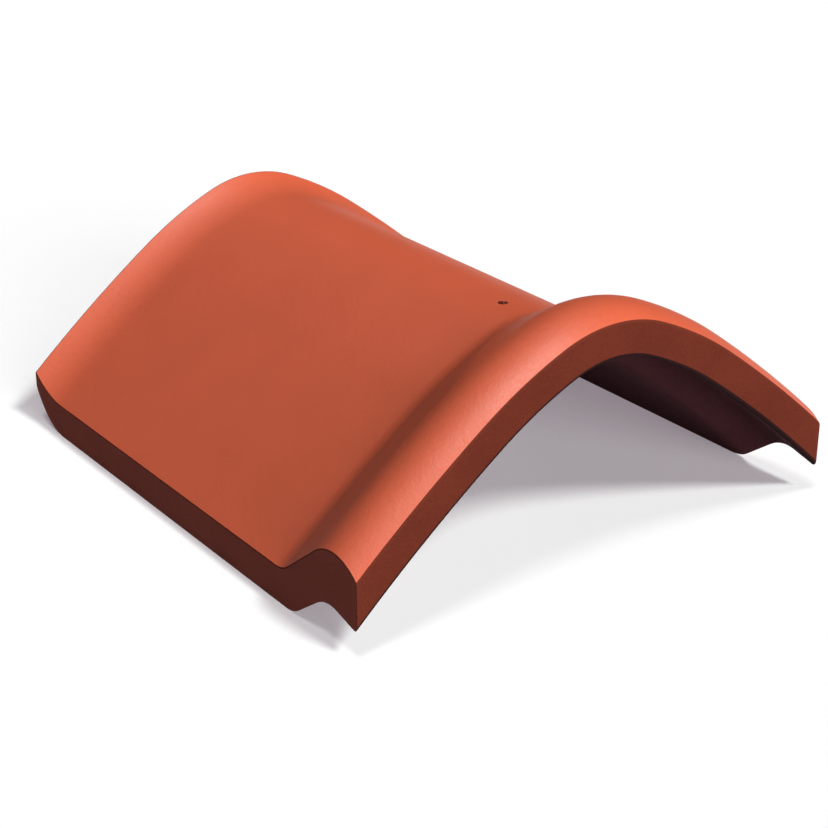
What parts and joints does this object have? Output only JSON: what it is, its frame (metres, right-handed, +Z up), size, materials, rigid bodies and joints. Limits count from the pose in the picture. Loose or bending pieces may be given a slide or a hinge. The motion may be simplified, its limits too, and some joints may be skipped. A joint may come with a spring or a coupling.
{
  "type": "ridge tile",
  "caption": "Angled concrete ridge tile with a rounded crown: a raised roll at one end laps over the upturned lip of the next tile, with a nail hole through the crown.",
  "frame": {"origin": "midway between the ends and between the side faces, at the level of the two bottom edges the tile rests on", "axes": "+Y along the ridge from the roll end to the lip end, +X across the ridge, +Z up"},
  "size_m": [0.35, 0.39, 0.1609],
  "materials": {
    "coated_concrete": "matt red-brown coated concrete with a faint satin sheen"
  },
  "bodies": {
    "root": {"ridge_tile": "coated_concrete"}
  },
  "joints": []
}
